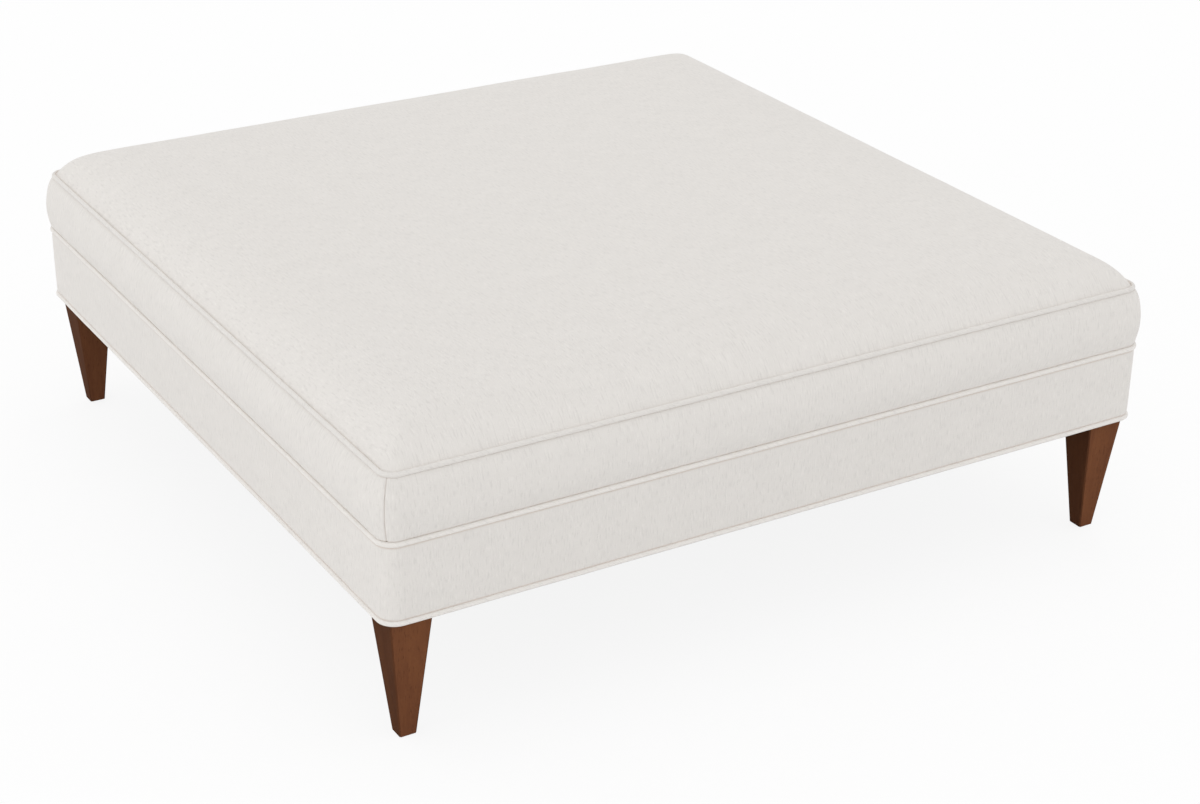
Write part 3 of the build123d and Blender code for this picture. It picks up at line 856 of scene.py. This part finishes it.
class Welts(bpy.types.Operator):
    """Make the three covered cords along the seams and the bottom edge"""

    bl_idname = "ottoman.welts"
    bl_label = "Welts"

    def execute(self, context):
        steps_round, steps_about = 1200, 14
        # Size and waves to the metre: in and out, up and down, and in the cord's thickness
        wander_size, wander_waves = 0.0003, 9.0
        drift_size, drift_waves, drift_row = 0.0003, 11.0, 4.0
        lump_size, lump_waves, lump_turns = 0.00012, 70.0, 3.0
        # Share of the half turn, from outside in, at which the cord goes into the seam and its painted seam
        # shade is full
        shown_share = 0.72
        # The cords' cloth is cut at 45 degrees
        bias = math.sqrt(0.5)
        cover = context.scene.ottoman_cover
        # The two lower cords take the lighter copy of the cloth, a painted highlight
        lines = {
            "welt_top": (cover.top_welt_inset, cover.top_corner_radius, "cover_cloth"),
            "welt_middle": (0.0, cover.corner_radius, "highlit_cord_cloth"),
            "welt_bottom": (0.0, cover.corner_radius, "highlit_cord_cloth"),
        }
        for seed, (node, (inset, corner, look)) in enumerate(lines.items()):
            level = welt_level(node)
            length = side_length(corner)

            def place(u, v, level=level, inset=inset, corner=corner, length=length, seed=seed):
                run = (u + 1) / 2 * length * len(SIDES)
                number = int(run / length + 0.5) % len(SIDES)
                along = run - number * length
                if along > length * len(SIDES) / 2:
                    along -= length * len(SIDES)
                round_end, seam_end = u in (-1.0, 1.0), v in (-1.0, 1.0)
                wander_spot = Vector((run * wander_waves, 0.0, seed + SEEDS["cord_wander"]))
                drift_spot = Vector((run * drift_waves, drift_row, seed + SEEDS["cord_drift"]))
                lump_spot = Vector((run * lump_waves, v * lump_turns, seed))
                wander = wander_size * noise.noise(wander_spot)
                drift = drift_size * noise.noise(drift_spot)
                if round_end:
                    wander = drift = 0.0
                point, outward = side_point(number, along, -inset - cover.welt_stand + wander, corner)
                angle = v * math.pi
                radius = cover.welt_radius + lump_size * noise.noise(lump_spot)
                if round_end or seam_end:
                    radius = cover.welt_radius
                point = point + outward * (radius * math.cos(angle))
                point.z = level + drift + radius * math.sin(angle)
                flat = ((run + angle * radius) * bias, (run - angle * radius) * bias)
                return point, flat, (shown_share * math.pi - abs(angle)) * radius

            grid = (steps_round, steps_about, place)
            piece = cloth_mesh(f"{node}_cord", [grid], look, merge=True)
            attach(piece, "root")
            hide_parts(node)
        return {"FINISHED"}


class LowerBand(bpy.types.Operator):
    """Make the flat lower band of cloth that wraps the frame"""

    bl_idname = "ottoman.lower_band"
    bl_label = "Lower Band"

    def execute(self, context):
        steps_along, steps_up, crowding_along, crowding_up = 130, 16, 0.7, 0.6
        # The dips at the seams and in the hollows beside them
        seam_depth, seam_width = 0.0012, 0.0011
        hollow_depth, hollow_width = 0.0008, 0.0045
        # How far from the corners the gathers are full, and from the seams the filling's waves
        fade_reach, calm_reach = 0.01, 0.03
        # The head's gathers against the foot's, the waves against the seat's, and the painted seam shade's
        # start
        head_share, wave_share, seam_shade_share = 1.2, 0.5, 0.7
        cover = context.scene.ottoman_cover
        low = welt_level("welt_bottom") + EDGE_RISE * cover.welt_radius
        high = welt_level("welt_middle") - EDGE_RISE * cover.welt_radius
        length = side_length(cover.corner_radius)

        grids = []
        for number in range(len(SIDES)):

            def place(u, v, number=number):
                along = closer(u, crowding_along) * length / 2
                level = low + (closer(v, crowding_up) + 1) / 2 * (high - low)
                lower, upper = level - low, high - level
                offset = -dip(lower, seam_depth, seam_width) - dip(upper, seam_depth, seam_width)
                offset -= dip(lower, hollow_depth, hollow_width) + dip(upper, hollow_depth, hollow_width)
                run = along + number * length
                fade = min(1.0, (length / 2 - abs(along)) / fade_reach)
                at_foot = gather(run, lower, cover, SEEDS["band_foot"])
                at_head = head_share * gather(run, upper, cover, SEEDS["band_head"])
                offset += (at_foot + at_head) * fade
                waves = wave_share * unevenness((along, number * SIDE_SPACING, level), SEEDS["band"])
                offset += waves * min(1.0, lower / calm_reach, upper / calm_reach) * fade
                point, _ = side_point(number, along, offset, cover.corner_radius)
                point.z = level
                return point, (run, level), min(lower, upper) - seam_shade_share * cover.welt_radius

            grids.append((steps_along, steps_up, place))
        piece = cloth_mesh("band_cloth", grids, "cover_cloth", merge=True)
        finish_cloth(piece, cover.cloth)
        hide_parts("lower_band")
        return {"FINISHED"}


class DustCover(bpy.types.Operator):
    """Make the black cambric under the frame, sagging a little between its edges"""

    bl_idname = "ottoman.dust_cover"
    bl_label = "Dust Cover"

    def execute(self, context):
        steps, corner = 70, 0.017
        # Where the cambric comes free of the rails, as a share of its half, and how sharply
        edge_share, edge_power = 0.94, 8
        sag_depth, ripple_depth, ripple_waves = 0.0022, 0.0009, 9.0
        low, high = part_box("dust_cover")
        half = high.x

        def place(u, v):
            x, y = u * half, v * half
            over_x, over_y = abs(x) - half + corner, abs(y) - half + corner
            if over_x > 0 and over_y > 0:
                pull = corner / max(corner, math.hypot(over_x, over_y))
                x -= math.copysign(over_x * (1 - pull), x)
                y -= math.copysign(over_y * (1 - pull), y)
            free_x = max(0.0, 1 - (u / edge_share) ** edge_power)
            free_y = max(0.0, 1 - (v / edge_share) ** edge_power)
            ripple = noise.noise(Vector((x * ripple_waves, y * ripple_waves, SEEDS["cambric"])))
            sag = sag_depth * free_x * free_y * (1 - u * u) * (1 - v * v)
            sag += ripple_depth * free_x * free_y * max(0.0, ripple)
            return (x, y, high.z - sag), (x, y), 0.0

        piece = cloth_mesh("cambric", [(steps, steps, place)], "dust_cover")
        piece.data.flip_normals()
        thicken(piece, high.z - low.z, side=1.0)
        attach(piece, "root")
        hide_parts("dust_cover")
        return {"FINISHED"}


class Legs(bpy.types.Operator):
    """Stain the tapered legs and finish their glides"""

    bl_idname = "ottoman.legs"
    bl_label = "Legs"

    def execute(self, context):
        dress([f"leg_{corner}" for corner in CORNERS], "leg_wood")
        dress(["glides"], "glide")
        return {"FINISHED"}


class InnerWorks(bpy.types.Operator):
    """Finish the frame, suspension, filling and fastenings inside the cover"""

    bl_idname = "ottoman.inner_works"
    bl_label = "Inner Works"

    def execute(self, context):
        groups = {}
        for entry in frame["record"]["subparts"]:
            groups.setdefault(entry["material_slot"], []).append(entry["node"])
        for slot in ("frame_wood", "webbing", "burlap", "tack_strip", "foam", "batting", "steel"):
            dress(groups[slot], slot)
        return {"FINISHED"}


class Studio(bpy.types.Operator):
    """Set up the pale floor, the soft lamp, the surround and the camera"""

    bl_idname = "ottoman.studio"
    bl_label = "Studio"

    def execute(self, context):
        stage = context.scene.ottoman_stage
        self.lay_floor(stage)
        self.light(context.scene, stage)
        lamp_place, lamp_aim = Vector((-9.54, -0.83, 1.6)), Vector((0.0, 0.0, 0.25))
        self.hang_lamp("key_lamp", lamp_place, lamp_aim, size=2.4, power=stage.key_power)
        self.aim_camera(context.scene)
        context.scene.view_settings.view_transform = "Standard"
        return {"FINISHED"}

    def lay_floor(self, stage):
        """A pale floor that looks lighter to the camera than it is lit, and keeps a faint shadow."""
        # How much of what the camera sees of the floor is plain white
        white_share = 0.88
        mesh = bpy.data.meshes.new("floor")
        form = bmesh.new()
        bmesh.ops.create_grid(form, x_segments=1, y_segments=1, size=stage.floor_size / 2)
        form.to_mesh(mesh)
        form.free()
        floor = bpy.data.objects.new("floor", mesh)
        bpy.context.scene.collection.objects.link(floor)
        paint = Finish("floor_paint")
        paint.surface(base_color=(*stage.floor_colour, 1.0), roughness=0.9, specular_ior_level=0.0)
        glow = paint.add("ShaderNodeEmission", {}, {"Color": (1.0, 1.0, 1.0, 1.0), "Strength": 1.0})
        share = white_share * paint.add("ShaderNodeLightPath", output="Is Camera Ray")
        lit = Reading(paint, paint.shader.outputs["BSDF"])
        mixed = paint.add("ShaderNodeMixShader", {}, {0: share, 1: lit, 2: glow})
        paint.connect(paint.output.inputs["Surface"], mixed)
        mesh.materials.append(paint.material)

    def light(self, scene, stage):
        """Light from all round, shown plain white to the camera and in reflections."""
        world = bpy.data.worlds.new("surround")
        scene.world = world
        world.use_nodes = True
        wiring = Wiring(world.node_tree)
        background = next(node for node in wiring.tree.nodes if node.type == "BACKGROUND")
        camera = wiring.add("ShaderNodeLightPath", output="Is Camera Ray")
        glossy = wiring.add("ShaderNodeLightPath", output="Is Glossy Ray")
        through = wiring.add("ShaderNodeLightPath", output="Is Transmission Ray")
        seen = wiring.larger(wiring.larger(camera, glossy), through)
        levels = {"Value": seen, "To Min": stage.sky_light, "To Max": 1.0}
        strength = wiring.add("ShaderNodeMapRange", {}, levels)
        wiring.connect(background.inputs["Strength"], strength)
        wiring.connect(background.inputs["Color"], (1.0, 1.0, 1.0, 1.0))

    def hang_lamp(self, name, place, aim, size, power):
        """A soft square lamp turned to the point it aims at."""
        lamp = bpy.data.lights.new(name, "AREA")
        lamp.shape = "SQUARE"
        lamp.size = size
        lamp.energy = power
        holder = bpy.data.objects.new(name, lamp)
        bpy.context.scene.collection.objects.link(holder)
        holder.location = place
        holder.rotation_euler = (aim - place).to_track_quat("-Z", "Y").to_euler()

    def aim_camera(self, scene):
        """The photograph's place, direction and lens, fitted to the body's outline."""
        yaw, pitch, roll = math.radians(31.13), math.radians(25.73), math.radians(0.78)
        place = Vector((-1.697, -2.913, 1.724))
        ahead = Vector((math.sin(yaw) * math.cos(pitch), math.cos(yaw) * math.cos(pitch), -math.sin(pitch)))
        level = Vector((math.cos(yaw), -math.sin(yaw), 0.0))
        upright = level.cross(ahead)
        right = math.cos(roll) * level + math.sin(roll) * upright
        up = math.cos(roll) * upright - math.sin(roll) * level
        camera = bpy.data.cameras.new("camera")
        camera.sensor_fit = "HORIZONTAL"
        camera.sensor_width = 36.0
        camera.lens = 71.87
        camera.clip_end = 100.0
        holder = bpy.data.objects.new("camera", camera)
        scene.collection.objects.link(holder)
        holder.matrix_world = Matrix.Translation(place) @ Matrix((right, up, -ahead)).transposed().to_4x4()
        scene.camera = holder


class OttomanPanel(bpy.types.Panel):
    """Lists the ottoman's makers and settings"""

    bl_idname = "VIEW3D_PT_ottoman"
    bl_label = "Ottoman"
    bl_space_type = "VIEW_3D"
    bl_region_type = "UI"
    bl_category = "Ottoman"

    def draw(self, context):
        for settings in (
            context.scene.ottoman_cover, context.scene.ottoman_seat,
            context.scene.ottoman_legs, context.scene.ottoman_stage,
        ):
            box = self.layout.box()
            for name in settings.__annotations__:
                box.prop(settings, name)
        for operator in OPERATORS:
            self.layout.operator(operator.bl_idname)


SETTINGS = {
    "ottoman_cover": OttomanCover,
    "ottoman_seat": OttomanSeat,
    "ottoman_legs": OttomanLegs,
    "ottoman_stage": OttomanStage,
}
OPERATORS = (SeatTop, Boxing, Welts, LowerBand, DustCover, Legs, InnerWorks, Studio)


def register():
    for settings in SETTINGS.values():
        bpy.utils.register_class(settings)
    for name, settings in SETTINGS.items():
        setattr(bpy.types.Scene, name, PointerProperty(type=settings))
    for operator in OPERATORS:
        bpy.utils.register_class(operator)
    bpy.utils.register_class(OttomanPanel)


def unregister():
    bpy.utils.unregister_class(OttomanPanel)
    for operator in reversed(OPERATORS):
        bpy.utils.unregister_class(operator)
    for name in SETTINGS:
        delattr(bpy.types.Scene, name)
    for settings in reversed(list(SETTINGS.values())):
        bpy.utils.unregister_class(settings)


def main():
    register()
    bpy.ops.ottoman.seat_top()
    bpy.ops.ottoman.boxing()
    bpy.ops.ottoman.welts()
    bpy.ops.ottoman.lower_band()
    bpy.ops.ottoman.dust_cover()
    bpy.ops.ottoman.legs()
    bpy.ops.ottoman.inner_works()
    bpy.ops.ottoman.studio()


if __name__ == "__main__":
    main()
